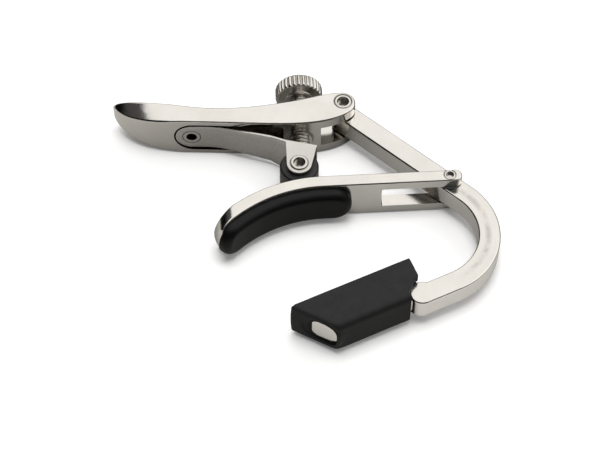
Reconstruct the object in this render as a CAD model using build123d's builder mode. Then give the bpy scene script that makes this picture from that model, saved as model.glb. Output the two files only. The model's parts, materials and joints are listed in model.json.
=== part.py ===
from build123d import *
import math
import os

# Guitar capo lying on its side. Millimetres.
# +X runs along the string pad towards the hook, +Y from the string pad to the neck pad,
# +Z along the two pivots. The origin is the centre of the bounding box, on the resting plane.

# ---- widths along the pivots (Z) ----
lever_width = 15.2
saddle_width = 14.2
arm_width = 13.2
strip_width = 9.6
sleeve_width = 13.0
pad_width = 11.9
bar_width = 7.0
middle = lever_width / 2

# ---- frame: straight bar, hook and lower bar in one piece ----
bar_depth = 6.35
bar_angle = -66.9
pivot_spacing = 40.95
lever_pivot = (19.38, 19.86)
hook_start = 47.0
hook_radius = 18.3
hook_turn = 180 + bar_angle
lower_run = 10.6
string_lift = 10.8
shoulder_radius = 3.75
shoulder_lift = 0.55
bar_edge = 0.6

# ---- tongue inside the string pad ----
tongue_depth = 6.35
tongue_height = 6.9
tongue_edge = 1.9
tongue_lift = 2.6

# ---- string pad sleeve ----
sleeve_length = 36.7
sleeve_depth = 12.4
sleeve_slant = 0.75
cushion_depth = 6.4
sleeve_edge = 2.2
sleeve_draft = 0.4
sleeve_mouth = ((2.2, 7.1), (5.5, 10.25), (6.4, 12.4))
mouth_gap = 0.15
sleeve_reach = 31.85

# ---- lever ----
lever_angle = 154.4
lever_end = 69.9
lever_edge = 0.6
slot_end = 6.6
lever_slot = 8.2
pocket_width = 11.7
pocket_end = 50.8
seat_start = 38.5
channel_start = 17.8
seat_level = -6.75
seat_width = 8.0
groove_level = -5.2
channel_level = -3.9

# ---- pivots: rivets with a hollow, rolled end on top ----
lever_rivet_radius = 2.2
lever_rivet_bore = 1.75
lever_rivet_flange = 2.6
lever_rivet_hollow = 2.2
saddle_rivet_radius = 1.4
saddle_rivet_bore = 1.1
saddle_rivet_flange = 1.8
saddle_rivet_hollow = 1.0
flange_depth = 0.45
rim_edge = 0.15
running_gap = 0.05
washer_gap = 0.05
lever_washer_radius = 3.1
saddle_washer_radius = 2.9
roller_washer_radius = 3.3

# ---- saddle ----
saddle_angle = 157.7
saddle_back = 1.75
saddle_front = -2.1
saddle_end = 3.55
bend_start = 36.8
bend_radius = 45.0
saddle_length = 69.3
saddle_corner = 7.0
saddle_slot = 8.0
saddle_slot_end = 19.9
saddle_edge = 0.5

# ---- neck pad ----
pad_start = 28.7
pad_end = 68.1
pad_depth = 3.4
pad_edge = 2.2
pad_corner = 5.6

# ---- adjusting screw ----
screw_place = 12.85
screw_tilt = 2.6
screw_radius = 3.175
thread_pitch = 1.27
thread_depth = 0.7
thread_turns = 14
crest_half = 0.12
thread_top = 6.0
screw_end = -13.05
knob_radius = 7.2
knob_face = 6.7
knob_height = 4.5
knob_chamfer = 0.5
knob_grooves = 30
groove_radius = 0.5
bushing_radius = 3.9
bushing_end = -1.0
bushing_length = 7.2
screw_gap = 0.06
screw_hole_gap = 0.15
cap_length = 1.1
cap_edge = 0.6
cap_gap = 0.05

# ---- leaf arm, its rivet, roller and axle ----
strip_rivet_place = (45.5, -7.65)
strip_rivet_radius = 2.0
strip_rivet_flange = 2.55
strip_rivet_bore = 1.55
strip_rivet_head = 0.4
strip_rivet_length = 3.0
strip_rivet_hollow = 2.8
strip_thickness = 0.9
strip_end = 50.3
axle_place = (13.1, -22.35)
roller_radius = 5.75
roller_width = 10.4
roller_edge = 0.7
axle_radius = 2.3
axle_bore = 1.7
axle_flange = 2.6
axle_head = 0.4
axle_hollow = 2.2
ear_radius = 3.75


def polar(angle):
    """Unit vector in the XY plane."""
    return Vector(math.cos(math.radians(angle)), math.sin(math.radians(angle)), 0)


def side_plane(origin, angle):
    """Plane facing down the pivots: x along angle, y towards the outside of the capo."""
    return Plane(origin=(origin[0], origin[1], middle), x_dir=polar(angle), z_dir=(0, 0, -1))


def across(plane, x, y, toward):
    """Plane through a point of a side plane, facing a direction of that plane."""
    return Plane(
        origin=plane.from_local_coords(Vector(x, y, 0)),
        x_dir=plane.z_dir,
        z_dir=plane.x_dir * toward[0] + plane.y_dir * toward[1],
    )


saddle_pivot_point = Vector(*lever_pivot) + polar(bar_angle) * pivot_spacing
saddle_pivot = (saddle_pivot_point.X, saddle_pivot_point.Y)
bar_plane = Plane(origin=(*lever_pivot, middle), x_dir=polar(bar_angle), z_dir=(0, 0, 1))
lever_plane = side_plane(lever_pivot, lever_angle)
saddle_plane = side_plane(saddle_pivot, saddle_angle)

hull_plane = Plane(origin=lever_plane.origin, x_dir=lever_plane.x_dir, z_dir=lever_plane.y_dir)
saddle_top = Plane(origin=saddle_plane.origin, x_dir=saddle_plane.x_dir, z_dir=saddle_plane.y_dir)
tilt = math.radians(screw_tilt)
screw_plane = across(lever_plane, screw_place, 0, (math.sin(tilt), math.cos(tilt)))

# Hook centre and the lower bar, in the part's own axes.
hook_centre = bar_plane.from_local_coords(Vector(hook_start, -hook_radius, 0))
lower_y = hook_centre.Y - hook_radius
shoulder_x = hook_centre.X - lower_run
sleeve_left = shoulder_x - shoulder_radius - sleeve_reach
sleeve_right = sleeve_left + sleeve_length
string_y = lower_y + string_lift
tongue_y = lower_y + tongue_lift

os.makedirs("parts", exist_ok=True)

# ---------------------------------------------------------------- frame_bar
half = bar_depth / 2
with BuildPart() as frame_bar:
    with BuildSketch(bar_plane):
        with BuildLine():
            outer = Line((0, half), (hook_start, half))
            outer_hook = CenterArc((hook_start, -hook_radius), hook_radius + half, 90, -hook_turn)
            lower_outer = Line(outer_hook @ 1, (outer_hook @ 1) + (outer_hook % 1) * lower_run)
            inner_hook = CenterArc((hook_start, -hook_radius), hook_radius - half, 90, -hook_turn)
            lower_inner = Line((inner_hook @ 1) + (inner_hook % 1) * lower_run, inner_hook @ 1)
            Line(lower_outer @ 1, lower_inner @ 0)
            Line((hook_start, -half), (0, -half))
            ThreePointArc((0, -half), (-half, 0), (0, half))
        make_face()
    with BuildSketch(Plane.XY.offset(middle)):
        with Locations((shoulder_x, lower_y + shoulder_lift)):
            Circle(shoulder_radius)
    extrude(amount=bar_width / 2, both=True)
    fillet(frame_bar.faces().group_by(Axis.Z)[-1].edges(), bar_edge)
    fillet(frame_bar.faces().group_by(Axis.Z)[0].edges(), bar_edge)
    with BuildSketch(Plane.XY.offset(middle)):
        with BuildLine():
            tongue_top = tongue_y + tongue_depth / 2
            tongue_low = tongue_y - tongue_depth / 2
            tongue_end = sleeve_left + 0.1
            Polyline(
                (shoulder_x, tongue_top),
                (tongue_end + (string_y - tongue_top) * sleeve_slant, tongue_top),
                (tongue_end + (string_y - tongue_low) * sleeve_slant, tongue_low),
                (shoulder_x, tongue_low),
                close=True,
            )
        make_face()
    extrude(amount=tongue_height / 2, both=True)
    tongue_edges = frame_bar.edges().filter_by(Axis.X).filter_by(lambda edge: edge.length > 20)
    fillet(tongue_edges, tongue_edge)
    with Locations(bar_plane):
        Hole(lever_rivet_radius + running_gap)
        with Locations((pivot_spacing, 0)):
            Hole(saddle_rivet_radius + running_gap)
frame_bar.part.label = "frame_bar"
export_step(frame_bar.part, "parts/frame_bar.step")

# ---------------------------------------------------------------- string_pad_sleeve
with BuildPart() as string_pad_sleeve:
    with BuildSketch(Plane.XY.offset(middle)):
        with BuildLine():
            Polyline(
                (sleeve_left, string_y),
                (sleeve_right, string_y),
                (sleeve_right - sleeve_draft, string_y - cushion_depth),
                *[(sleeve_right - back, string_y - down) for back, down in sleeve_mouth],
                (sleeve_left + sleeve_depth * sleeve_slant, string_y - sleeve_depth),
                close=True,
            )
        make_face()
    extrude(amount=sleeve_width / 2, both=True)
    back_edges = string_pad_sleeve.edges().filter_by(Axis.X).group_by(Axis.Y)[0]
    fillet(back_edges, sleeve_edge)
    with BuildSketch(Plane.YZ.offset(sleeve_left - 1)):
        with Locations((tongue_y, middle)):
            RectangleRounded(tongue_depth, tongue_height, tongue_edge)
    extrude(amount=sleeve_length + 5, mode=Mode.SUBTRACT)
    # Room for the frame's shoulder between the two lips of the mouth.
    with BuildSketch(Plane.XY.offset(middle)):
        with Locations((shoulder_x, lower_y + shoulder_lift)):
            Circle(shoulder_radius + mouth_gap)
        with Locations((shoulder_x + shoulder_radius, lower_y)):
            Rectangle(2 * shoulder_radius, bar_depth + 2 * mouth_gap)
    extrude(amount=bar_width / 2 + mouth_gap, both=True, mode=Mode.SUBTRACT)
string_pad_sleeve.part.label = "string_pad_sleeve"
export_step(string_pad_sleeve.part, "parts/string_pad_sleeve.step")

# ---------------------------------------------------------------- lever
with BuildPart() as lever:
    with BuildSketch(lever_plane):
        with BuildLine():
            Spline(
                (0.9, 3.6),
                (9.9, 1.7),
                (18.9, -0.4),
                (29, -1.9),
                (40, -2.3),
                (52, -0.8),
                (61, 0.9),
                (lever_end, 2.9),
                tangents=((1, -0.05), (1, 0.25)),
            )
            Spline(
                (lever_end, 2.9),
                (67.2, -1.4),
                (61, -5.4),
                (54, -7.2),
                (42, -7.9),
                (24, -8.45),
                (10, -8.1),
                (2.6, -6.4),
                (-2.2, -3.6),
            )
            ThreePointArc((-2.2, -3.6), (-3.4, 1.2), (0.9, 3.6))
        make_face()
    extrude(amount=lever_width / 2, both=True)
    # The tip narrows, and is narrower below than above.
    for level, outline in (
        (4, ((46, 8.3), (58, 7.4), (64, 6.2), (67.3, 4.85), (70.4, 0))),
        (-9.5, ((46, 7.6), (55, 6.3), (61.2, 4.7), (65, 3.1), (68.4, 0))),
    ):
        with BuildSketch(hull_plane.offset(level)):
            with BuildLine():
                side = Spline(*outline, tangents=((1, -0.03), (0, -1)))
                Polyline((-6, 0), (-6, outline[0][1]), side @ 0)
                mirror(about=Plane.XZ)
            make_face()
    loft(mode=Mode.INTERSECT)
    fillet(lever.edges(), lever_edge)
    # Seat for the strip with a groove round it, and the deeper channel beside the screw.
    with BuildSketch(hull_plane.offset(seat_level)):
        with Locations(((channel_start + pocket_end) / 2, 0)):
            SlotOverall(pocket_end - channel_start, pocket_width)
    extrude(amount=-6, mode=Mode.SUBTRACT)
    with BuildSketch(hull_plane.offset(groove_level)):
        with Locations(((channel_start + pocket_end) / 2, 0)):
            SlotOverall(pocket_end - channel_start, pocket_width)
        with Locations(((channel_start + strip_end - 1) / 2, 0)):
            SlotOverall(strip_end - 1 - channel_start, seat_width, mode=Mode.SUBTRACT)
    extrude(amount=-6, mode=Mode.SUBTRACT)
    with BuildSketch(hull_plane.offset(channel_level)):
        with Locations(((channel_start + seat_start) / 2, 0)):
            RectangleRounded(seat_start - channel_start, pocket_width, 1.5)
    extrude(amount=-8, mode=Mode.SUBTRACT)
    # Hole for the screw, wider below for its bushing.
    with BuildSketch(screw_plane.offset(bushing_end)):
        Circle(bushing_radius)
    extrude(amount=-12, mode=Mode.SUBTRACT)
    with BuildSketch(screw_plane):
        Circle(screw_radius + screw_hole_gap)
    extrude(amount=6, both=True, mode=Mode.SUBTRACT)
    # Fork slot over the bar, and the pivot holes with a counterbore in each cheek.
    with BuildSketch(lever_plane):
        with Locations((slot_end - 10, -3)):
            Rectangle(20, 20)
    extrude(amount=lever_slot / 2, both=True, mode=Mode.SUBTRACT)
    with BuildSketch(lever_plane):
        Circle(lever_rivet_radius)
    extrude(amount=lever_width, both=True, mode=Mode.SUBTRACT)
    for side in (1, -1):
        with BuildSketch(lever_plane.offset(side * lever_width / 2)):
            Circle(lever_rivet_flange)
        extrude(amount=-side * flange_depth, mode=Mode.SUBTRACT)
    with BuildSketch(hull_plane.offset(strip_rivet_place[1] + strip_rivet_head + strip_rivet_length)):
        with Locations((strip_rivet_place[0], 0)):
            Circle(strip_rivet_radius)
    extrude(amount=-6, mode=Mode.SUBTRACT)
lever.part.label = "lever"
export_step(lever.part, "parts/lever.step")

# ---------------------------------------------------------------- lever_bushing
with BuildPart() as lever_bushing:
    with BuildSketch(screw_plane.offset(bushing_end)):
        Circle(bushing_radius)
        Circle(screw_radius + screw_gap, mode=Mode.SUBTRACT)
    extrude(amount=-bushing_length)
lever_bushing.part.label = "lever_bushing"
export_step(lever_bushing.part, "parts/lever_bushing.step")


def hollow_rivet(plane, half_length, radius, bore, flange, hollow):
    """Rivet with a flange inside each end and a blind hollow in its upper end."""
    with BuildPart() as rivet:
        with BuildSketch(plane):
            Circle(radius)
        extrude(amount=half_length, both=True)
        for side in (1, -1):
            with BuildSketch(plane.offset(side * half_length)):
                Circle(flange)
            extrude(amount=-side * flange_depth)
        fillet(rivet.edges().group_by(Axis.Z)[-1], flange_depth * 0.8)
        fillet(rivet.edges().group_by(Axis.Z)[0], flange_depth * 0.8)
        with BuildSketch(plane.offset(-half_length)):
            Circle(bore)
        extrude(amount=hollow, mode=Mode.SUBTRACT)
        fillet(rivet.edges().filter_by(GeomType.CIRCLE).group_by(Axis.Z)[-1], rim_edge)
    return rivet.part


def washer_pair(plane, low, high, outer, inner):
    """Two thin rings, one on each side of the plane."""
    with BuildPart() as washers:
        for side in (1, -1):
            with BuildSketch(plane.offset(side * low)):
                Circle(outer)
                Circle(inner, mode=Mode.SUBTRACT)
            extrude(amount=side * (high - low))
    return washers.part


# ---------------------------------------------------------------- lever pivot
lever_pivot_rivet = hollow_rivet(
    lever_plane,
    lever_width / 2,
    lever_rivet_radius,
    lever_rivet_bore,
    lever_rivet_flange,
    lever_rivet_hollow,
)
lever_pivot_rivet.label = "lever_pivot_rivet"
export_step(lever_pivot_rivet, "parts/lever_pivot_rivet.step")

lever_pivot_washers = washer_pair(
    lever_plane,
    bar_width / 2 + washer_gap,
    lever_slot / 2 - washer_gap,
    lever_washer_radius,
    lever_rivet_radius + running_gap,
)
lever_pivot_washers.label = "lever_pivot_washers"
export_step(lever_pivot_washers, "parts/lever_pivot_washers.step")

# ---------------------------------------------------------------- saddle
bend_centre = (bend_start, saddle_back - bend_radius)
front_radius = bend_radius - (saddle_back - saddle_front)
back_sweep = math.degrees(math.asin((saddle_length - bend_start) / bend_radius))
with BuildPart() as saddle:
    with BuildSketch(saddle_plane):
        with BuildLine():
            back = Line((-0.6, saddle_back), (bend_start, saddle_back))
            back_bend = CenterArc(bend_centre, bend_radius, 90, -back_sweep)
            front_bend = CenterArc(bend_centre, front_radius, 90, -back_sweep)
            SagittaArc(back_bend @ 1, front_bend @ 1, 0.6)
            front = Line(front_bend @ 0, (-1.6, saddle_front))
            ThreePointArc(front @ 1, (-saddle_end, -0.6), back @ 0)
        make_face()
    extrude(amount=saddle_width / 2, both=True)
    with BuildSketch(saddle_top):
        with Locations(((saddle_length - 10) / 2, 0)):
            tip = Rectangle(saddle_length + 10, saddle_width)
            fillet(tip.vertices().group_by(Axis.X)[-1], saddle_corner)
    extrude(amount=30, both=True, mode=Mode.INTERSECT)
    fillet(saddle.edges(), saddle_edge)
    with BuildSketch(saddle_top):
        with Locations((saddle_slot_end - 15, 0)):
            slot = Rectangle(30, saddle_slot)
            fillet(slot.vertices().group_by(Axis.X)[-1], 0.6)
    extrude(amount=10, both=True, mode=Mode.SUBTRACT)
    with BuildSketch(saddle_plane):
        Circle(saddle_rivet_radius)
    extrude(amount=saddle_width, both=True, mode=Mode.SUBTRACT)
    for side in (1, -1):
        with BuildSketch(saddle_plane.offset(side * saddle_width / 2)):
            Circle(saddle_rivet_flange)
        extrude(amount=-side * flange_depth, mode=Mode.SUBTRACT)
saddle.part.label = "saddle"
export_step(saddle.part, "parts/saddle.step")

# ---------------------------------------------------------------- saddle pivot
saddle_pivot_rivet = hollow_rivet(
    saddle_plane,
    saddle_width / 2,
    saddle_rivet_radius,
    saddle_rivet_bore,
    saddle_rivet_flange,
    saddle_rivet_hollow,
)
saddle_pivot_rivet.label = "saddle_pivot_rivet"
export_step(saddle_pivot_rivet, "parts/saddle_pivot_rivet.step")

saddle_pivot_washers = washer_pair(
    saddle_plane,
    bar_width / 2 + washer_gap,
    saddle_slot / 2 - washer_gap,
    saddle_washer_radius,
    saddle_rivet_radius + running_gap,
)
saddle_pivot_washers.label = "saddle_pivot_washers"
export_step(saddle_pivot_washers, "parts/saddle_pivot_washers.step")

# ---------------------------------------------------------------- neck_pad
pad_sweep = math.degrees(math.asin((pad_end - bend_start) / front_radius))


def on_neck_side(edge):
    """True for an edge that lies on the pad's neck face."""
    place = saddle_plane.to_local_coords(edge @ 0.5)
    reach = math.hypot(max(place.X - bend_start, 0), place.Y - bend_centre[1])
    return reach < front_radius - pad_depth + 0.05


def is_rim(edge):
    """True unless the edge runs straight across the pad where its face starts to bend."""
    return abs(saddle_plane.to_local_coords(edge @ 0.5).X - bend_start) > 0.1


with BuildPart() as neck_pad:
    with BuildSketch(saddle_plane):
        with BuildLine():
            pad_back = Line((pad_start, saddle_front), (bend_start, saddle_front))
            pad_bend = CenterArc(bend_centre, front_radius, 90, -pad_sweep)
            face_bend = CenterArc(bend_centre, front_radius - pad_depth, 90, -pad_sweep)
            Line(pad_bend @ 1, face_bend @ 1)
            pad_face = Line(face_bend @ 0, (pad_start, saddle_front - pad_depth))
            Line(pad_face @ 1, pad_back @ 0)
        make_face()
    extrude(amount=pad_width / 2, both=True)
    corner_edges = neck_pad.edges().filter_by(
        lambda edge: edge.length < pad_depth + 0.1 and abs(edge.tangent_at(0.5).Z) < 0.01
    )
    fillet(corner_edges, pad_corner)
    fillet(neck_pad.edges().filter_by(on_neck_side).filter_by(is_rim), pad_edge)
neck_pad.part.label = "neck_pad"
export_step(neck_pad.part, "parts/neck_pad.step")

# ---------------------------------------------------------------- leaf_arm
with BuildPart() as leaf_arm:
    with BuildSketch(lever_plane):
        with BuildLine() as strip_line:
            seat = Line((strip_end, -7.2), (40, -7.2))
            leaf = Spline(
                seat @ 1,
                (32.2, -8.9),
                (26.2, -10.5),
                (21.4, -11.9),
                tangents=((-1, 0), (-1, -0.35)),
            )
            step = Line(leaf @ 1, (17.2, -14.2))
            Line(step @ 1, (7.9, -16.2))
        trace(line_width=strip_thickness)
    extrude(amount=arm_width / 2, both=True)
    with BuildSketch(hull_plane):
        with BuildLine():
            round_end = CenterArc((45.5, 0), strip_width / 2, -90, 180)
            edge = Polyline(round_end @ 1, (32, 5.0), (21.4, 5.7), (17.2, arm_width / 2), (7, arm_width / 2))
            Line(edge @ 1, (7, -arm_width / 2))
            mirror(edge, about=Plane.XZ)
        make_face()
    extrude(amount=25, both=True, mode=Mode.INTERSECT)
    for side in (1, -1):
        with BuildSketch(lever_plane.offset(side * arm_width / 2)):
            with Locations(axle_place):
                Circle(ear_radius)
            with BuildLine():
                Polyline((17.2, -14.2), (7.9, -16.2), (9, -17), (16.5, -15), close=True)
            make_face()
            make_hull()
        extrude(amount=-side * strip_thickness)
    with BuildSketch(lever_plane):
        with Locations(axle_place):
            Circle(axle_radius)
    extrude(amount=arm_width, both=True, mode=Mode.SUBTRACT)
    with BuildSketch(hull_plane):
        with Locations((strip_rivet_place[0], 0)):
            Circle(strip_rivet_radius)
    extrude(amount=-10, mode=Mode.SUBTRACT)
    with BuildSketch(hull_plane.offset(strip_rivet_place[1] + strip_rivet_head)):
        with Locations((strip_rivet_place[0], 0)):
            Circle(strip_rivet_flange)
    extrude(amount=-2, mode=Mode.SUBTRACT)
leaf_arm.part.label = "leaf_arm"
export_step(leaf_arm.part, "parts/leaf_arm.step")

# ---------------------------------------------------------------- leaf_arm_rivet
with BuildPart() as leaf_arm_rivet:
    with BuildSketch(hull_plane.offset(strip_rivet_place[1])):
        with Locations((strip_rivet_place[0], 0)):
            Circle(strip_rivet_flange)
    extrude(amount=strip_rivet_head)
    with BuildSketch(hull_plane.offset(strip_rivet_place[1] + strip_rivet_head)):
        with Locations((strip_rivet_place[0], 0)):
            Circle(strip_rivet_radius)
    extrude(amount=strip_rivet_length)
    with BuildSketch(hull_plane.offset(strip_rivet_place[1])):
        with Locations((strip_rivet_place[0], 0)):
            Circle(strip_rivet_bore)
    extrude(amount=strip_rivet_hollow, mode=Mode.SUBTRACT)
leaf_arm_rivet.part.label = "leaf_arm_rivet"
export_step(leaf_arm_rivet.part, "parts/leaf_arm_rivet.step")

# ---------------------------------------------------------------- roller and axle
axle_origin = lever_plane.from_local_coords(Vector(*axle_place, 0))
axle_plane = Plane(origin=axle_origin, x_dir=lever_plane.x_dir, z_dir=lever_plane.z_dir)
with BuildPart() as roller:
    with BuildSketch(axle_plane):
        Circle(roller_radius)
    extrude(amount=roller_width / 2, both=True)
    fillet(roller.edges(), roller_edge)
    with BuildSketch(axle_plane):
        Circle(axle_radius + running_gap)
    extrude(amount=roller_width, both=True, mode=Mode.SUBTRACT)
roller.part.label = "roller"
export_step(roller.part, "parts/roller.step")

with BuildPart() as roller_axle:
    with BuildSketch(axle_plane):
        Circle(axle_radius)
    extrude(amount=arm_width / 2, both=True)
    for side in (1, -1):
        with BuildSketch(axle_plane.offset(side * arm_width / 2)):
            Circle(axle_flange)
        extrude(amount=side * axle_head)
    fillet(roller_axle.edges().group_by(Axis.Z)[-1], axle_head * 0.75)
    fillet(roller_axle.edges().group_by(Axis.Z)[0], axle_head * 0.75)
    with BuildSketch(axle_plane.offset(-arm_width / 2 - axle_head)):
        Circle(axle_bore)
    extrude(amount=axle_hollow, mode=Mode.SUBTRACT)
    fillet(roller_axle.edges().filter_by(GeomType.CIRCLE).group_by(Axis.Z)[-1], rim_edge)
roller_axle.part.label = "roller_axle"
export_step(roller_axle.part, "parts/roller_axle.step")

roller_washers = washer_pair(
    axle_plane,
    roller_width / 2 + washer_gap,
    arm_width / 2 - strip_thickness - washer_gap,
    roller_washer_radius,
    axle_radius + running_gap,
)
roller_washers.label = "roller_washers"
export_step(roller_washers, "parts/roller_washers.step")

# ---------------------------------------------------------------- adjusting_screw
screw_side = Plane(origin=screw_plane.origin, x_dir=screw_plane.x_dir, z_dir=-screw_plane.y_dir)
root = screw_radius - thread_depth
knob_top = knob_face + knob_height
with BuildPart() as adjusting_screw:
    with BuildSketch(screw_side):
        with BuildLine():
            outline = [(0, knob_top), (knob_radius - knob_chamfer, knob_top)]
            outline += [(knob_radius, knob_top - knob_chamfer)]
            outline += [(knob_radius, knob_face + knob_chamfer)]
            outline += [(knob_radius - knob_chamfer, knob_face), (root, knob_face), (root, thread_top)]
            for turn in range(thread_turns):
                crest = thread_top - (turn + 0.5) * thread_pitch
                outline += [(screw_radius, crest + crest_half), (screw_radius, crest - crest_half)]
                outline += [(root, crest - thread_pitch / 2)]
            outline += [(root, screw_end), (0, screw_end)]
            Polyline(*outline, close=True)
        make_face()
    revolve(axis=Axis(screw_plane.origin, screw_plane.z_dir))
    with BuildSketch(screw_plane.offset(knob_face)):
        with PolarLocations(knob_radius, knob_grooves):
            Circle(groove_radius)
    extrude(amount=knob_height, mode=Mode.SUBTRACT)
adjusting_screw.part.label = "adjusting_screw"
export_step(adjusting_screw.part, "parts/adjusting_screw.step")

# ---------------------------------------------------------------- screw_tip_cap
with BuildPart() as screw_tip_cap:
    with BuildSketch(screw_plane.offset(screw_end - cap_gap)):
        Circle(root)
    extrude(amount=-cap_length)
    fillet(screw_tip_cap.edges().filter_by(GeomType.CIRCLE).sort_by(Axis.Y)[0], cap_edge)
screw_tip_cap.part.label = "screw_tip_cap"
export_step(screw_tip_cap.part, "parts/screw_tip_cap.step")
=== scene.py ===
import json
import math

import bmesh
import bpy
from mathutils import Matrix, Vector, noise


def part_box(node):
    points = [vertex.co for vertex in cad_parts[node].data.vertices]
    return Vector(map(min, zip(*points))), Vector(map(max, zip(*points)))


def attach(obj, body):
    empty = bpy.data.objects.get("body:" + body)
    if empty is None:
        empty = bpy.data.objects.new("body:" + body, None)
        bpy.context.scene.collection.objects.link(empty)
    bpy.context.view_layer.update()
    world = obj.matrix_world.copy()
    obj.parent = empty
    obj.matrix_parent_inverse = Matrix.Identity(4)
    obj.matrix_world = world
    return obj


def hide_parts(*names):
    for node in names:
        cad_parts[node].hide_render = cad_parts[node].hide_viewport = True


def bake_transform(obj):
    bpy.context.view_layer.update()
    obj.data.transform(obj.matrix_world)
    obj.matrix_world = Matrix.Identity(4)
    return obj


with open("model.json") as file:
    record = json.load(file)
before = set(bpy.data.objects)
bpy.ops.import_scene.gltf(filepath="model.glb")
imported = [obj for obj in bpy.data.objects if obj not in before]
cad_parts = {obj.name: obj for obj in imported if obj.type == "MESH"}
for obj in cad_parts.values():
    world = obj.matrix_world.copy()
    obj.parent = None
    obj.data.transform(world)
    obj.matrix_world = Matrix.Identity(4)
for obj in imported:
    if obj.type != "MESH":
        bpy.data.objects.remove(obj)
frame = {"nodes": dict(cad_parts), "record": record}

MM = 0.001
UP = Vector((0, 0, 1))
scene = bpy.context.scene
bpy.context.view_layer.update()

# The camera's level line of sight, and the picture's right.
look = Vector((0.4321, 0.9018, 0))
side = Vector((0.9018, -0.4321, 0))

# Colours of the shade, shadow lines and dark reflections painted on the metal.
SHADE_DARK = (0.045, 0.038, 0.032)
SHADE_LIGHT = (0.20, 0.17, 0.145)


# ---------------------------------------------------------------- shader helpers
def new_material(name):
    material = bpy.data.materials.new(name)
    material.use_nodes = True
    tree = material.node_tree
    shader = tree.nodes["Principled BSDF"]
    return material, tree, shader


def object_coords(tree, scale, turn=0.0):
    """Object coordinates in millimetres, turned about Z and stretched."""
    place = tree.nodes.new("ShaderNodeTexCoord")
    spin = tree.nodes.new("ShaderNodeMapping")
    spin.inputs["Rotation"].default_value = (0, 0, math.radians(turn))
    spin.inputs["Scale"].default_value = (1000, 1000, 1000)
    stretch = tree.nodes.new("ShaderNodeMapping")
    stretch.inputs["Scale"].default_value = scale
    tree.links.new(place.outputs["Object"], spin.inputs["Vector"])
    tree.links.new(spin.outputs["Vector"], stretch.inputs["Vector"])
    return stretch.outputs["Vector"]


def noise_node(tree, vector, scale, detail=3.0, roughness=0.5):
    node = tree.nodes.new("ShaderNodeTexNoise")
    node.inputs["Scale"].default_value = scale
    node.inputs["Detail"].default_value = detail
    node.inputs["Roughness"].default_value = roughness
    tree.links.new(vector, node.inputs["Vector"])
    return node.outputs["Fac"]


def to_range(tree, value, low, high, from_low=0.3, from_high=0.7, smooth=False):
    node = tree.nodes.new("ShaderNodeMapRange")
    if smooth:
        node.interpolation_type = "SMOOTHSTEP"
    node.inputs["From Min"].default_value = from_low
    node.inputs["From Max"].default_value = from_high
    node.inputs["To Min"].default_value = low
    node.inputs["To Max"].default_value = high
    tree.links.new(value, node.inputs["Value"])
    return node.outputs["Result"]


def math_node(tree, operation, a, b):
    node = tree.nodes.new("ShaderNodeMath")
    node.operation = operation
    for socket, value in zip(node.inputs, (a, b)):
        if isinstance(value, float):
            socket.default_value = value
        else:
            tree.links.new(value, socket)
    return node.outputs["Value"]


def weighted(tree, a, weight_a, b, weight_b):
    first = math_node(tree, "MULTIPLY", a, weight_a)
    return math_node(tree, "ADD", first, math_node(tree, "MULTIPLY", b, weight_b))


def mix_colour(tree, factor, low, high):
    node = tree.nodes.new("ShaderNodeMix")
    node.data_type = "RGBA"
    node.inputs["A"].default_value = (*low, 1)
    node.inputs["B"].default_value = (*high, 1)
    tree.links.new(factor, node.inputs["Factor"])
    return node.outputs["Result"]


def by_ray(tree, mirrored, seen, output):
    """One shader for what the camera sees directly, another for every other ray."""
    ray = tree.nodes.new("ShaderNodeLightPath")
    choose = tree.nodes.new("ShaderNodeMixShader")
    tree.links.new(ray.outputs["Is Camera Ray"], choose.inputs["Fac"])
    tree.links.new(mirrored, choose.inputs[1])
    tree.links.new(seen, choose.inputs[2])
    tree.links.new(choose.outputs["Shader"], tree.nodes[output].inputs["Surface"])


def add_bump(tree, shader, height, strength, distance_mm):
    node = tree.nodes.new("ShaderNodeBump")
    node.inputs["Strength"].default_value = strength
    node.inputs["Distance"].default_value = distance_mm * MM
    tree.links.new(height, node.inputs["Height"])
    tree.links.new(node.outputs["Normal"], shader.inputs["Normal"])


def between(tree, value, low, high):
    """1 where low < value < high, else 0."""
    over = math_node(tree, "GREATER_THAN", value, float(low))
    return math_node(tree, "MULTIPLY", over, math_node(tree, "LESS_THAN", value, float(high)))


def along_axis(tree, vector, axis):
    node = tree.nodes.new("ShaderNodeVectorMath")
    node.operation = "DOT_PRODUCT"
    node.inputs[1].default_value = axis
    tree.links.new(vector, node.inputs[0])
    return node.outputs["Value"]


def from_line(tree, vector, point_mm, axis):
    """Distance in millimetres from a line through a point."""
    offset = tree.nodes.new("ShaderNodeVectorMath")
    offset.operation = "SUBTRACT"
    offset.inputs[1].default_value = point_mm
    tree.links.new(vector, offset.inputs[0])
    cross = tree.nodes.new("ShaderNodeVectorMath")
    cross.operation = "CROSS_PRODUCT"
    cross.inputs[1].default_value = axis
    tree.links.new(offset.outputs["Vector"], cross.inputs[0])
    length = tree.nodes.new("ShaderNodeVectorMath")
    length.operation = "LENGTH"
    tree.links.new(cross.outputs["Vector"], length.inputs[0])
    return length.outputs["Value"]


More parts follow.
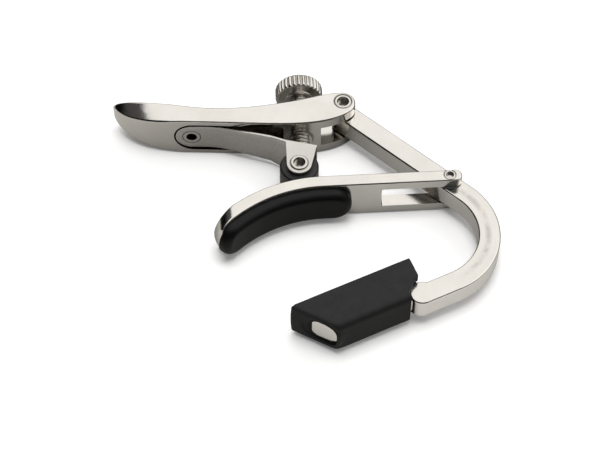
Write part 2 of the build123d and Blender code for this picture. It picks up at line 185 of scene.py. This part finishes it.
def metal(name, light, dark, rough, turn, grain=0.05, painted_shade=None):
    """Nickel plate over a linished surface: fine grain along one direction, soft waviness and faint smears.

    The last argument, if given, returns a 0 to 1 factor where shade or a dark reflection is painted on the
    metal, which is also rougher there."""
    material, tree, shader = new_material(name)
    shader.inputs["Metallic"].default_value = 1.0
    plain = object_coords(tree, (1, 1, 1))
    along = object_coords(tree, (0.12, 9.0, 9.0), turn)
    smears = noise_node(tree, plain, 0.11, 3.0, 0.6)
    lines = noise_node(tree, along, 1.0, 4.0, 0.65)
    pits = noise_node(tree, plain, 5.0, 2.0, 0.5)
    colour = mix_colour(tree, to_range(tree, smears, 0.0, 1.0), dark, light)
    fine = math_node(tree, "ADD", to_range(tree, lines, -0.035, 0.045), to_range(tree, pits, -0.01, 0.02))
    broad = to_range(tree, smears, rough, rough + 0.05)
    finish = math_node(tree, "ADD", fine, broad)
    # Painted shade: where the factor is high, shade or a dark reflection is painted into the colour, and
    # the metal is made rougher.
    if painted_shade is not None:
        factor = painted_shade(tree, plain)
        blotches = noise_node(tree, plain, 0.9, 4.0, 0.65)
        shade_colour = mix_colour(tree, to_range(tree, blotches, 0.0, 1.0), SHADE_DARK, SHADE_LIGHT)
        shaded = tree.nodes.new("ShaderNodeMix")
        shaded.data_type = "RGBA"
        tree.links.new(factor, shaded.inputs["Factor"])
        tree.links.new(colour, shaded.inputs["A"])
        tree.links.new(shade_colour, shaded.inputs["B"])
        colour = shaded.outputs["Result"]
        finish = math_node(tree, "ADD", finish, math_node(tree, "MULTIPLY", factor, 0.3))
    tree.links.new(colour, shader.inputs["Base Color"])
    tree.links.new(finish, shader.inputs["Roughness"])
    waves = noise_node(tree, plain, 0.16, 2.0, 0.5)
    height = weighted(tree, lines, 0.10, waves, 1.0)
    add_bump(tree, shader, height, 1.0, grain)
    return material


def rubber(name, light, dark, rough, turn, gloss, lit_height):
    """Moulded rubber: matte, with faint flow lines and a fine grain, and painted lighter above a height,
    for the light on its top faces.

    The last argument is that height in millimetres."""
    material, tree, shader = new_material(name)
    plain = object_coords(tree, (1, 1, 1))
    along = object_coords(tree, (0.10, 2.2, 2.2), turn)
    mottle = noise_node(tree, plain, 0.35, 4.0, 0.6)
    flow = noise_node(tree, along, 1.0, 3.0, 0.6)
    grain = noise_node(tree, plain, 6.0, 3.0, 0.6)
    shade = weighted(tree, mottle, 0.5, flow, 0.5)
    level = along_axis(tree, plain, UP)
    # Painted light: the colour is lighter above the given height, for the light falling on the top faces.
    lit_top = to_range(tree, level, 0.35, 1.0, lit_height - 0.8, lit_height)
    lightness = math_node(tree, "MULTIPLY", to_range(tree, shade, 0.6, 1.0), lit_top)
    colour = mix_colour(tree, lightness, dark, light)
    tree.links.new(colour, shader.inputs["Base Color"])
    broad = to_range(tree, flow, rough - 0.05, rough + 0.05)
    finish = math_node(tree, "ADD", broad, to_range(tree, grain, -0.04, 0.04))
    tree.links.new(finish, shader.inputs["Roughness"])
    shader.inputs["Specular IOR Level"].default_value = gloss
    height = weighted(tree, grain, 0.6, flow, 0.4)
    add_bump(tree, shader, height, 0.6, 0.03)
    return material


def plastic(name, light, dark, rough, rings=None):
    """Turned or moulded plastic; rings is the axis point of a turned piece, in millimetres."""
    material, tree, shader = new_material(name)
    plain = object_coords(tree, (1, 1, 1))
    mottle = noise_node(tree, plain, 0.9, 4.0, 0.6)
    grain = noise_node(tree, plain, 7.0, 2.0, 0.5)
    colour = mix_colour(tree, to_range(tree, mottle, 0.0, 1.0), dark, light)
    tree.links.new(colour, shader.inputs["Base Color"])
    tree.links.new(to_range(tree, grain, rough - 0.05, rough + 0.06), shader.inputs["Roughness"])
    height = math_node(tree, "MULTIPLY", grain, 0.5)
    if rings is not None:
        centred = tree.nodes.new("ShaderNodeVectorMath")
        centred.operation = "SUBTRACT"
        centred.inputs[1].default_value = (*rings, 0)
        tree.links.new(plain, centred.inputs[0])
        wave = tree.nodes.new("ShaderNodeTexWave")
        wave.wave_type = "RINGS"
        wave.rings_direction = "Z"
        wave.inputs["Scale"].default_value = 1.1
        wave.inputs["Distortion"].default_value = 0.6
        tree.links.new(centred.outputs["Vector"], wave.inputs["Vector"])
        height = math_node(tree, "ADD", height, math_node(tree, "MULTIPLY", wave.outputs["Fac"], 0.8))
    add_bump(tree, shader, height, 0.7, 0.04)
    return material


# ---------------------------------------------------------------- geometry taken from the frame
joints = {joint["name"]: joint for joint in frame["record"]["behaviour"]["joints"]}
lever_pivot = Vector(joints["lever_swing"]["pos_m"])
saddle_pivot = Vector(joints["saddle_swing"]["pos_m"])
axle = Vector(joints["roller_spin"]["pos_m"])
screw_axis = Vector(joints["screw_turn"]["axis"]).normalized()
screw_foot = Vector(joints["screw_turn"]["pos_m"])
middle = lever_pivot.z

LEVER_TURN = 154.4
SADDLE_TURN = 157.7
lever_x = Vector((math.cos(math.radians(LEVER_TURN)), math.sin(math.radians(LEVER_TURN)), 0))
lever_y = Vector((lever_x.y, -lever_x.x, 0))
saddle_x = Vector((math.cos(math.radians(SADDLE_TURN)), math.sin(math.radians(SADDLE_TURN)), 0))


def on_lever(x, y, across=0.0):
    """A point given along the lever, towards its back and across it, in millimetres."""
    return lever_pivot + (lever_x * x + lever_y * y + UP * across) * MM


bar_turn = math.degrees(math.atan2(saddle_pivot.y - lever_pivot.y, saddle_pivot.x - lever_pivot.x))

# The hook bends about this upright line.
HOOK_START = 47.0
HOOK_RADIUS = 18.3
HOOK_LINE_RADIUS = 17.9
bar_x = (saddle_pivot - lever_pivot).normalized()
hook_centre = lever_pivot + (bar_x * HOOK_START + Vector((bar_x.y, -bar_x.x, 0)) * HOOK_RADIUS) * MM

# The strip, its ears and its rivet, along and across the lever.
STRIP_HALF = 0.45
ARM_HALF = 6.6
ROUND_CENTRE, ROUND_RADIUS = 45.5, 4.8
EAR_RADIUS = 3.75
AXLE_HOLE = 2.32
HEAD_RADIUS = 2.6
HEAD_BOTTOM = -7.23
SHANK_RADIUS = 2.03
BORE_RADIUS = 1.62
strip_rivet = on_lever(ROUND_CENTRE, -7.0)

# The channel in the lever.
CHANNEL_START, CHANNEL_CENTRE, CHANNEL_HALF = 17.5, 44.95, 5.88
CHANNEL_FRONT, CHANNEL_BACK = -7.45, -2.4

# The rolled rims of the upright rivets.
LARGE_RIM, SMALL_RIM = 2.58, 1.78

# The adjusting screw, along its axis towards the knob.
THREAD_PITCH = 1.27
THREAD_RADIUS = 3.175
THREAD_ROOT = 2.42
THREAD_LOW, THREAD_HIGH = -13.05, 7.0
ROOTS_LOW, ROOTS_HIGH = -12.9, 6.2
KNOB_HIGH = 11.2
KNOB_RADIUS = 7.2
TEETH = 30
TOOTH_DEPTH = 0.62


# ---------------------------------------------------------------- materials
NICKEL_LIGHT = (0.78, 0.755, 0.715)
NICKEL_DARK = (0.72, 0.695, 0.655)
RIVET_LIGHT = (0.72, 0.70, 0.66)
RIVET_DARK = (0.62, 0.60, 0.56)


def offset_along(tree, plain, axis, origin):
    """Millimetres from an origin, along an axis."""
    return math_node(tree, "SUBTRACT", along_axis(tree, plain, axis), origin.dot(axis) / MM)


def rim_shadow_line(tree, plain, centre, radius, width, strength):
    """A painted shadow line on a flat face, round the rolled rim of an upright rivet."""
    distance = from_line(tree, plain, centre / MM, UP)
    return math_node(tree, "MULTIPLY", between(tree, distance, radius, radius + width), strength)


def unpolished_channel_shade(tree, plain):
    """The unpolished channel under the strip, rougher and with shade painted dark in it, and the painted
    shadow line round the pivot's rivet.
    """
    x = offset_along(tree, plain, lever_x, lever_pivot)
    y = offset_along(tree, plain, lever_y, lever_pivot)
    z = offset_along(tree, plain, UP, lever_pivot)
    within = between(tree, z, -CHANNEL_HALF, CHANNEL_HALF)
    straight = math_node(tree, "MULTIPLY", between(tree, x, CHANNEL_START, CHANNEL_CENTRE), within)
    from_centre = from_line(tree, plain, on_lever(CHANNEL_CENTRE, 0) / MM, lever_y)
    rounded = math_node(tree, "LESS_THAN", from_centre, CHANNEL_HALF)
    deep = between(tree, y, CHANNEL_FRONT, CHANNEL_BACK)
    channel = math_node(tree, "MULTIPLY", math_node(tree, "MAXIMUM", straight, rounded), deep)
    return math_node(tree, "MAXIMUM", channel, rim_shadow_line(tree, plain, lever_pivot, LARGE_RIM, 0.3, 0.75))


def thread_root_shade(tree, plain):
    """Shade painted dark in the roots between the thread's crests."""
    distance = from_line(tree, plain, screw_foot / MM, screw_axis)
    roots = math_node(tree, "MULTIPLY", to_range(tree, distance, 1.0, 0.0, 2.46, 2.72), 0.95)
    along = offset_along(tree, plain, screw_axis, screw_foot)
    threaded = between(tree, along, ROOTS_LOW, ROOTS_HIGH)
    return math_node(tree, "MULTIPLY", roots, threaded)


def hook_reflection_line(tree, plain):
    """A dark reflection painted along the middle of the hook's bend, where the metal is also made rougher.
    """
    distance = from_line(tree, plain, hook_centre / MM, UP)
    offset = math_node(tree, "ABSOLUTE", math_node(tree, "SUBTRACT", distance, HOOK_LINE_RADIUS), 0.0)
    band = to_range(tree, offset, 0.34, 0.0, 0.1, 1.3)
    wobble = to_range(tree, noise_node(tree, plain, 0.22), 0.25, 1.0, 0.38, 0.58)
    # Only on the side away from the string pad.
    outer = to_range(tree, offset_along(tree, plain, side, hook_centre), 0.0, 1.0, 8.0, 13.0)
    return math_node(tree, "MULTIPLY", math_node(tree, "MULTIPLY", band, wobble), outer)


def strip_shadow_lines(tree, plain):
    """Thin painted shadow lines round the head of the strip's rivet and the axle's rim."""
    distance = from_line(tree, plain, strip_rivet / MM, lever_y)
    head = math_node(tree, "MULTIPLY", between(tree, distance, 2.35, 2.85), 0.85)
    return math_node(tree, "MAXIMUM", head, rim_shadow_line(tree, plain, axle, LARGE_RIM, 0.28, 0.6))


def saddle_tip_reflection_and_shadow(tree, plain):
    """The saddle's very tip, with a dark reflection painted on it and made rougher, and the painted shadow
    line round its rivet.
    """
    tip = to_range(tree, offset_along(tree, plain, saddle_x, saddle_pivot), 0.0, 0.6, 67.6, 68.9)
    return math_node(tree, "MAXIMUM", tip, rim_shadow_line(tree, plain, saddle_pivot, SMALL_RIM, 0.22, 0.4))


def rivet_hollow_shade(tree, plain):
    """Shade painted dark on the walls of the hollow ends."""
    return math_node(tree, "MULTIPLY", between(tree, along_axis(tree, plain, UP), 13.75, 14.5), 0.7)


def strip_rivet_bore_shade(tree, plain):
    """The bore of the strip's rivet, with its shade painted dark."""
    return math_node(tree, "LESS_THAN", from_line(tree, plain, strip_rivet / MM, lever_y), BORE_RADIUS)


paint = {
    "frame_bar": metal("frame_nickel", NICKEL_LIGHT, NICKEL_DARK, 0.13, -bar_turn, painted_shade=hook_reflection_line),
    "lever": metal("lever_nickel", NICKEL_LIGHT, NICKEL_DARK, 0.085, -LEVER_TURN, painted_shade=unpolished_channel_shade),
    "saddle": metal("saddle_nickel", NICKEL_LIGHT, NICKEL_DARK, 0.12, -SADDLE_TURN, painted_shade=saddle_tip_reflection_and_shadow),
    "leaf_arm": metal(
        "leaf_steel", (0.66, 0.64, 0.61), (0.60, 0.58, 0.55), 0.22, -LEVER_TURN, painted_shade=strip_shadow_lines
    ),
    "adjusting_screw": metal("screw_nickel", NICKEL_LIGHT, NICKEL_DARK, 0.2, 0, painted_shade=thread_root_shade),
    "lever_bushing": metal("bushing_steel", (0.60, 0.58, 0.54), (0.52, 0.50, 0.47), 0.25, 0),
    "string_pad_sleeve": rubber(
        "sleeve_rubber", (0.029, 0.029, 0.0295), (0.003, 0.003, 0.0031), 0.6, 0, 0.16, 14.0
    ),
    "neck_pad": rubber(
        "pad_rubber", (0.015, 0.015, 0.0152), (0.0005, 0.0005, 0.0005), 0.36, -SADDLE_TURN, 0.13, 13.4
    ),
    "roller": plastic(
        "roller_plastic", (0.010, 0.010, 0.0105), (0.005, 0.005, 0.0055), 0.33, (axle.x / MM, axle.y / MM)
    ),
    "screw_tip_cap": plastic("cap_plastic", (0.75, 0.73, 0.68), (0.68, 0.66, 0.60), 0.4),
}
rivet_metal = metal("rivet_nickel", RIVET_LIGHT, RIVET_DARK, 0.16, 0, painted_shade=rivet_hollow_shade)
washer_plastic = plastic("washer_plastic", (0.05, 0.05, 0.052), (0.035, 0.035, 0.037), 0.5)
for node in ("lever_pivot_rivet", "saddle_pivot_rivet", "roller_axle"):
    paint[node] = rivet_metal
paint["leaf_arm_rivet"] = metal(
    "strip_rivet_nickel", RIVET_LIGHT, RIVET_DARK, 0.16, 0, painted_shade=strip_rivet_bore_shade
)
for node in ("lever_pivot_washers", "saddle_pivot_washers", "roller_washers"):
    paint[node] = washer_plastic
for node, material in paint.items():
    mesh = frame["nodes"][node].data
    mesh.materials.clear()
    mesh.materials.append(material)


# ---------------------------------------------------------------- soft pieces
def soft_copy(node, name, voxel_mm, rounds):
    """A dense, even mesh over a moulded solid, with its edges worn soft."""
    source = frame["nodes"][node]
    piece = bpy.data.objects.new(name, source.data.copy())
    scene.collection.objects.link(piece)
    weld = piece.modifiers.new("weld", "WELD")
    weld.merge_threshold = 0.002 * MM
    remesh = piece.modifiers.new("remesh", "REMESH")
    remesh.mode = "VOXEL"
    remesh.voxel_size = voxel_mm * MM
    smooth = piece.modifiers.new("smooth", "SMOOTH")
    smooth.factor = 0.5
    smooth.iterations = rounds
    graph = bpy.context.evaluated_depsgraph_get()
    mesh = bpy.data.meshes.new_from_object(piece.evaluated_get(graph))
    piece.modifiers.clear()
    piece.data = mesh
    mesh.materials.clear()
    mesh.materials.append(paint[node])
    mesh.shade_smooth()
    return piece


def ease(value, start, end):
    t = min(max((value - start) / (end - start), 0.0), 1.0)
    return t * t * (3 - 2 * t)


sleeve = soft_copy("string_pad_sleeve", "string_pad_rubber", 0.25, 4)
# The cut end is worn and bulges a little, and the front lip reaches forward, all in millimetres.
low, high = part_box("string_pad_sleeve")
TONGUE_LEVEL = 8.2
END_SLANT = 0.75
END_WEAR = 1.3
WEAR_ROUNDS = 22
END_BULGE, MIDDLE_BULGE = 0.5, 0.45
SLEEVE_HALF = 6.9
LIP_REACH = 0.8
HOLE_GAP = 0.7
HOLE_INNER, HOLE_OUTER = 3.9, 5.6
tongue_y = high.y - TONGUE_LEVEL * MM


def behind_end(place):
    """Millimetres behind the slanted end."""
    return (place.x - low.x - END_SLANT * (high.y - place.y)) / MM


worn = bmesh.new()
worn.from_mesh(sleeve.data)
end_face = [v for v in worn.verts if behind_end(v.co) < END_WEAR]
every_way = {"use_axis_x": True, "use_axis_y": True, "use_axis_z": True}
for _ in range(WEAR_ROUNDS):
    bmesh.ops.smooth_vert(worn, verts=end_face, factor=0.5, **every_way)
worn.to_mesh(sleeve.data)
worn.free()
for vertex in sleeve.data.vertices:
    place = vertex.co
    down = high.y - place.y
    behind = behind_end(place)
    across = (place.z - middle) / MM
    near = 1.0 - ease(behind, 0.0, 3.5)
    crown = max(0.0, 1 - (across / SLEEVE_HALF) ** 2)
    place.x -= (END_BULGE + MIDDLE_BULGE * crown) * MM * near
    # The front lip reaches over the root of the tongue.
    ahead = (high.x - place.x) / MM
    place.x += LIP_REACH * MM * ease(down / MM, 10.0, 11.6) * (1.0 - ease(ahead, 6.4, 10.5))
    # The hole opens round the tongue.
    out = Vector((0, place.y - tongue_y, place.z - middle))
    gap = 1.0 - ease(behind, 0.0, 2.0)
    if 0.1 * MM < out.length < HOLE_OUTER * MM:
        reach = 1.0 - ease(out.length / MM, HOLE_INNER, HOLE_OUTER)
        place += out.normalized() * (HOLE_GAP * MM * gap * reach)
    # Slow waves, as on any moulded face.
    place.z += 0.05 * MM * noise.noise(place * 90.0)
    place.y += 0.04 * MM * noise.noise(place * 110.0 + Vector((3, 5, 7)))
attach(sleeve, "frame")
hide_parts("string_pad_sleeve")

pad = soft_copy("neck_pad", "neck_pad_rubber", 0.25, 6)
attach(pad, "saddle")
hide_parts("neck_pad")


# ---------------------------------------------------------------- adjusting screw
def ring_shell(name, rings):
    """Closed shell from rings of points with equal counts, with flat ends."""
    shell = bmesh.new()
    rows = [[shell.verts.new(point) for point in ring] for ring in rings]
    count = len(rings[0])
    for first, second in zip(rows, rows[1:]):
        for i in range(count):
            j = (i + 1) % count
            shell.faces.new((first[i], first[j], second[j], second[i]))
    shell.faces.new(list(reversed(rows[0])))
    shell.faces.new(rows[-1])
    bmesh.ops.recalc_face_normals(shell, faces=shell.faces)
    mesh = bpy.data.meshes.new(name)
    shell.to_mesh(mesh)
    shell.free()
    return mesh


def on_screw(along, radius, angle):
    """A point round the screw's axis; along and radius are in millimetres."""
    across = screw_axis.cross(UP)
    outward = UP * math.cos(angle) - across * math.sin(angle)
    return screw_foot + screw_axis * (along * MM) + outward * (radius * MM)


def thread_radius(along, angle):
    """The helical thread's height, fading out at both ends."""
    phase = (along / THREAD_PITCH - angle / (2 * math.pi)) % 1.0
    ridge = min(max((abs(phase - 0.5) * 2 - 0.12) / 0.72, 0.0), 1.0)
    height = (THREAD_RADIUS - THREAD_ROOT) * (1.0 - ridge * ridge * (3 - 2 * ridge))
    fade = ease(along, -12.9, -12.3) * (1.0 - ease(along, 5.3, 5.9))
    end = 0.45 * (1.0 - ease(along, THREAD_LOW, THREAD_LOW + 0.5))
    return THREAD_ROOT + height * fade - end


THREAD_COLUMNS = 72
THREAD_STEP = 0.1
rings = []
for row in range(int((THREAD_HIGH - THREAD_LOW) / THREAD_STEP) + 1):
    along = THREAD_LOW + row * THREAD_STEP
    angles = [2 * math.pi * i / THREAD_COLUMNS for i in range(THREAD_COLUMNS)]
    rings.append([on_screw(along, thread_radius(along, angle), angle) for angle in angles])
thread_mesh = ring_shell("thread", rings)

# The knob's outline, as radius and place along the axis: hub, dished face, chamfers and flat back.
hub = [(1.5, 6.35), (3.6, 6.35), (4.0, 6.45), (4.15, 6.7), (4.5, 6.82)]
front = [(6.2, 6.72), (6.5, 6.76), (6.75, 6.9), (6.98, 7.1), (7.12, 7.35)]
grip = [(KNOB_RADIUS, 7.65), (KNOB_RADIUS, 9.0), (KNOB_RADIUS, 10.3)]
back = [(7.12, 10.65), (6.98, 10.88), (6.75, 11.06), (6.5, 11.16)]
end = [(6.2, KNOB_HIGH), (3.0, KNOB_HIGH), (0.6, KNOB_HIGH)]
knob_columns = TEETH * 12
rings = []
for limit, along in hub + front + grip + back + end:
    ring = []
    for i in range(knob_columns):
        angle = 2 * math.pi * i / knob_columns
        tooth = abs(math.cos(angle * TEETH / 2)) ** 0.8
        radius = min(limit, KNOB_RADIUS - TOOTH_DEPTH * (1.0 - tooth))
        ring.append(on_screw(along, radius, angle))
    rings.append(ring)
knob_mesh = ring_shell("knob", rings)


def whole_piece(name, mesh, material):
    """A visible piece with one material."""
    piece = bpy.data.objects.new(name, mesh)
    mesh.materials.clear()
    mesh.materials.append(material)
    scene.collection.objects.link(piece)
    return piece


def combine(piece, tool_mesh, operation):
    """Boolean of a piece with a closed mesh, applied."""
    tool = bpy.data.objects.new("tool", tool_mesh)
    scene.collection.objects.link(tool)
    step = piece.modifiers.new("combine", "BOOLEAN")
    step.operation = operation
    step.solver = "EXACT"
    step.object = tool
    graph = bpy.context.evaluated_depsgraph_get()
    mesh = bpy.data.meshes.new_from_object(piece.evaluated_get(graph))
    piece.modifiers.clear()
    piece.data = mesh
    bpy.data.objects.remove(tool)


screw = whole_piece("thumb_screw", thread_mesh, paint["adjusting_screw"])
combine(screw, knob_mesh, "UNION")
screw.data.shade_smooth()
screw.data.set_sharp_from_angle(angle=math.radians(38))
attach(screw, "screw")
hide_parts("adjusting_screw")


# ---------------------------------------------------------------- leaf arm
def along_knots(x, knots):
    """Straight lines between knots given from high x to low x."""
    for (x1, y1), (x0, y0) in zip(knots, knots[1:]):
        if x >= x0:
            return y0 + (y1 - y0) * (x - x0) / (x1 - x0)
    return knots[-1][1]


# The strip's middle surface along the lever: flat seat, soft curve, two small bends.
STRIP_LINE = ((60.0, -7.2), (40.0, -7.2), (36.0, -7.75), (32.2, -8.9))
STRIP_LINE += ((26.2, -10.5), (21.4, -11.9), (17.2, -14.2), (7.0, -16.39))
EDGE_SOFT = 0.16
STRIP_SIDES = ((45.5, 4.8), (32.0, 5.0), (21.4, 5.7), (17.2, ARM_HALF), (7.0, ARM_HALF))


def soft_height(x, reach):
    """The strip's line, averaged over a reach either way so that its bends are round."""
    samples = 9
    total = 0.0
    for i in range(samples):
        total += along_knots(x + reach * (2 * i / (samples - 1) - 1), STRIP_LINE)
    return total / samples


def strip_width(x):
    """Half the strip's width, with a round end."""
    if x > ROUND_CENTRE:
        return math.sqrt(max(ROUND_RADIUS**2 - (x - ROUND_CENTRE) ** 2, 0.03))
    return along_knots(x, STRIP_SIDES)


def strip_section(width, soft):
    """The strip's section as across and lift, with rounded edges of radius soft."""
    flat = width - soft
    steps = 8
    top = [(-flat + 2 * flat * i / steps, STRIP_HALF) for i in range(steps + 1)]
    bottom = [(across, -STRIP_HALF) for across, _ in reversed(top)]

    def edge(hand, face, turns):
        points = []
        for turn in turns:
            a = math.radians(turn)
            across = hand * (flat + soft * math.sin(a))
            points.append((across, face * (STRIP_HALF - soft) + soft * math.cos(a)))
        return points

    right = edge(1, 1, (30, 60, 90)) + edge(1, -1, (90, 120, 150))
    left = edge(-1, -1, (150, 120, 90)) + edge(-1, 1, (90, 60, 30))
    return top + right + bottom + left


stations = [ROUND_CENTRE + ROUND_RADIUS * math.sin(math.radians(a)) for a in range(88, -1, -8)]
x = ROUND_CENTRE - 0.6
while x > 8.0:
    stations.append(x)
    x -= 0.35 if 14.5 < x < 24.0 else 0.7
stations.append(7.9)
rings = []
for x in stations:
    reach = 0.35 + 2.15 * ease(x, 22.5, 27.0)
    height = soft_height(x, reach)
    rise = (soft_height(x + 0.1, reach) - soft_height(x - 0.1, reach)) / 0.2
    normal = Vector((-rise, 1.0)).normalized()
    width = strip_width(x)
    section = strip_section(width, min(EDGE_SOFT, width * 0.5))
    rings.append(
        [on_lever(x + normal.x * lift, height + normal.y * lift, across) for across, lift in section]
    )
strip_mesh = ring_shell("strip", rings)

axle_local = ((axle - lever_pivot).dot(lever_x) / MM, (axle - lever_pivot).dot(lever_y) / MM)


def turns_right(a, b, c):
    """True if b lies on or left of the way from a to c, so it is no corner of the outline."""
    return (b[0] - a[0]) * (c[1] - a[1]) <= (b[1] - a[1]) * (c[0] - a[0])


def hull_2d(points):
    """Convex outline of points in a plane."""
    points = sorted(set(points))

    def half(sequence):
        chain = []
        for point in sequence:
            while len(chain) > 1 and turns_right(chain[-2], chain[-1], point):
                chain.pop()
            chain.append(point)
        return chain[:-1]

    return half(points) + half(reversed(points))


def ear_mesh(hand):
    """One ear: a plate from the strip's end to a round end about the axle."""
    outline = [(17.2, -14.05), (7.9, -16.05)]
    for degrees in range(0, 360, 9):
        a = math.radians(degrees)
        outline.append((axle_local[0] + EAR_RADIUS * math.cos(a), axle_local[1] + EAR_RADIUS * math.sin(a)))
    outline = hull_2d(outline)
    inner, outer = hand * (ARM_HALF - 2 * STRIP_HALF), hand * ARM_HALF
    plate = bmesh.new()
    bottom = [plate.verts.new(on_lever(px, py, inner)) for px, py in outline]
    top = [plate.verts.new(on_lever(px, py, outer)) for px, py in outline]
    plate.faces.new(bottom)
    plate.faces.new(top)
    for i in range(len(outline)):
        j = (i + 1) % len(outline)
        plate.faces.new((bottom[i], bottom[j], top[j], top[i]))
    bmesh.ops.recalc_face_normals(plate, faces=plate.faces)
    rims = [e for e in plate.edges if len(e.link_faces) == 2 and e.calc_face_angle() > 0.8]
    bmesh.ops.bevel(plate, geom=rims, offset=EDGE_SOFT * MM, segments=3, profile=0.5, affect="EDGES")
    mesh = bpy.data.meshes.new("ear")
    plate.to_mesh(mesh)
    plate.free()
    return mesh


def drill(piece, origin, axis, radius, length):
    """Cuts a round hole through a piece, from origin along axis."""
    sides = 48
    across = axis.orthogonal().normalized()
    other = axis.cross(across)
    rings = []
    for end in (0.0, length * MM):
        ring = []
        for i in range(sides):
            a = 2 * math.pi * i / sides
            outward = across * math.cos(a) + other * math.sin(a)
            ring.append(origin + axis * end + outward * (radius * MM))
        rings.append(ring)
    combine(piece, ring_shell("drill", rings), "DIFFERENCE")


arm = whole_piece("roller_arm", strip_mesh, paint["leaf_arm"])
# The rivet's head sits in a counterbore, flush with the strip.
DRILL_START = -12.0
drill(arm, on_lever(ROUND_CENTRE, DRILL_START), lever_y, HEAD_RADIUS, HEAD_BOTTOM - DRILL_START)
drill(arm, on_lever(ROUND_CENTRE, DRILL_START), lever_y, SHANK_RADIUS, 8.0)
for hand in (1, -1):
    combine(arm, ear_mesh(hand), "UNION")
drill(arm, Vector((axle.x, axle.y, middle - 9 * MM)), UP, AXLE_HOLE, 18.0)
arm.data.shade_smooth()
arm.data.set_sharp_from_angle(angle=math.radians(40))
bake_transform(arm)
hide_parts("leaf_arm")


# ---------------------------------------------------------------- floor, light and camera
def emitter(name, place, target, size, power):
    """A square lamp that faces a target."""
    data = bpy.data.lights.new(name, "AREA")
    data.shape = "SQUARE"
    data.size = size
    data.energy = power
    lamp = bpy.data.objects.new(name, data)
    scene.collection.objects.link(lamp)
    lamp.location = place
    lamp.rotation_mode = "QUATERNION"
    lamp.rotation_quaternion = (target - place).to_track_quat("-Z", "Y")
    return lamp


floor_mesh = bpy.data.meshes.new("floor")
half = 6.0
corners = [(-half, -half, 0), (half, -half, 0), (half, half, 0), (-half, half, 0)]
floor_mesh.from_pydata(corners, [], [(0, 1, 2, 3)])
floor = bpy.data.objects.new("floor", floor_mesh)
scene.collection.objects.link(floor)
floor.location.z = -0.00005
floor_material, floor_tree, pale = new_material("pale_floor")
pale.inputs["Base Color"].default_value = (0.97, 0.97, 0.97, 1)
pale.inputs["Roughness"].default_value = 1.0
pale.inputs["Specular IOR Level"].default_value = 0.0
pale.inputs["Emission Color"].default_value = (1, 1, 1, 1)
pale.inputs["Emission Strength"].default_value = 0.13
dim = floor_tree.nodes.new("ShaderNodeBsdfDiffuse")
# What the metal mirrors of the floor: light and shade painted across it, bright on the near side and dark
# on the far side, with a mid grey patch to the left.
spot = floor_tree.nodes.new("ShaderNodeTexCoord").outputs["Object"]
shade = to_range(floor_tree, along_axis(floor_tree, spot, look), 0.0, 1.0, -0.050, 0.040)
mirrored = mix_colour(floor_tree, shade, (0.75, 0.74, 0.72), (0.13, 0.125, 0.12))
leftward = to_range(floor_tree, along_axis(floor_tree, spot, side), 1.0, 0.0, -0.060, -0.034)
left = floor_tree.nodes.new("ShaderNodeMix")
left.data_type = "RGBA"
left.inputs["B"].default_value = (0.5, 0.49, 0.47, 1)
floor_tree.links.new(leftward, left.inputs["Factor"])
floor_tree.links.new(mirrored, left.inputs["A"])
floor_tree.links.new(left.outputs["Result"], dim.inputs["Color"])
by_ray(floor_tree, dim.outputs["BSDF"], pale.outputs["BSDF"], "Material Output")
floor_mesh.materials.append(floor_material)

# The room: a wide soft box high on the far side, dark elsewhere, and pale where it is seen directly.
world = bpy.data.worlds.new("studio")
scene.world = world
world.use_nodes = True
tree = world.node_tree
backdrop = tree.nodes["Background"]
backdrop.inputs["Color"].default_value = (0.9, 0.9, 0.9, 1)
room = tree.nodes.new("ShaderNodeBackground")
where = tree.nodes.new("ShaderNodeTexCoord").outputs["Generated"]
box_height = math.radians(62)
lean = along_axis(tree, where, look * math.cos(box_height) + UP * math.sin(box_height))
box_edge = (math.cos(math.radians(54)), math.cos(math.radians(40)))
box = to_range(tree, lean, 0.06, 1.12, *box_edge, smooth=True)
left_edge = to_range(tree, along_axis(tree, where, side), 0.06, 1.0, -0.44, -0.40, smooth=True)
main_box = math_node(tree, "MULTIPLY", box, left_edge)
# A second, weaker box on the right, for the views from the other sides.
right_lean = along_axis(tree, where, side * 0.8 + UP * 0.6)
right_edge = (math.cos(math.radians(36)), math.cos(math.radians(24)))
right_box = to_range(tree, right_lean, 0.0, 0.7, *right_edge)
tree.links.new(math_node(tree, "ADD", main_box, right_box), room.inputs["Strength"])
room.inputs["Color"].default_value = (1.0, 0.99, 0.97, 1)
by_ray(tree, room.outputs["Background"], backdrop.outputs["Background"], "World Output")

elevation = math.radians(55)
target = lever_pivot + Vector((-28.90, -30.50, 0.0)) * MM
distance = 0.493
camera_data = bpy.data.cameras.new("camera")
camera_data.lens = 102
camera_data.sensor_width = 36
camera_data.clip_start, camera_data.clip_end = 0.01, 20
camera = bpy.data.objects.new("camera", camera_data)
scene.collection.objects.link(camera)
rise = UP * (math.sin(elevation) * distance)
camera.location = target - look * (math.cos(elevation) * distance) + rise
camera.rotation_mode = "QUATERNION"
camera.rotation_quaternion = (target - camera.location).to_track_quat("-Z", "Y")
scene.camera = camera

# An overhead lamp that lights the floor and the rubber, and isn't mirrored in the metal.
top_lamp = emitter("top_lamp", target + UP * 0.9, target, 0.42, 4.6)
top_lamp.visible_glossy = False

scene.view_settings.view_transform = "Standard"
scene.view_settings.look = "None"
scene.cycles.use_denoising = True
